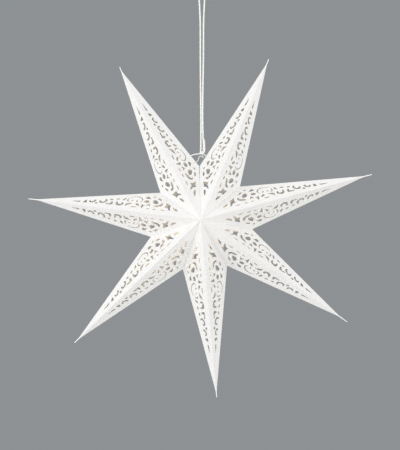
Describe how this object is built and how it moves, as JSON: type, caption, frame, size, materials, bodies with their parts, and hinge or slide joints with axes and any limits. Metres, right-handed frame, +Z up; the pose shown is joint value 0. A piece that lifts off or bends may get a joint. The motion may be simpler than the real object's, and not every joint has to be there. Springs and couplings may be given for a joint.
{
  "type": "paper star lamp",
  "caption": "Hanging star lantern of folded white card with cut-out filigree, a looped cord and a battery LED lamp inside.",
  "frame": {"origin": "the point where the hook bears, inside the top of the hanging cord's loop", "axes": "+Z up, the front of the star faces -Y, +X to the right seen from the front"},
  "size_m": [0.5869, 0.16, 0.7196],
  "materials": {
    "card": "matte white card, 0.4 mm",
    "cord": "twisted white cotton cord",
    "lamp_plastic": "fine matte",
    "cell_skin": "plain, unlabelled",
    "contact_metal": "plain sheet",
    "circuit_board": "solder mask",
    "led": "clear with yellow phosphor",
    "frosted_globe": "frosted, lets light through",
    "pad_rubber": "soft silicone"
  },
  "bodies": {
    "root": {"point_1": "card", "point_2": "card", "point_3": "card", "point_4": "card", "point_5": "card", "point_6": "card", "point_7": "card", "hanging_cord": "cord", "cord_knot": "cord", "tie_string": "cord", "loose_end": "cord", "battery_case": "lamp_plastic", "lamp_base": "lamp_plastic", "battery_cell_1": "cell_skin", "battery_cell_2": "cell_skin", "battery_cell_3": "cell_skin", "top_contact": "contact_metal", "bottom_contact": "contact_metal", "led_board": "circuit_board", "switch_strip": "circuit_board", "leds": "led", "globe": "frosted_globe", "switch_pad": "pad_rubber"}
  },
  "joints": []
}
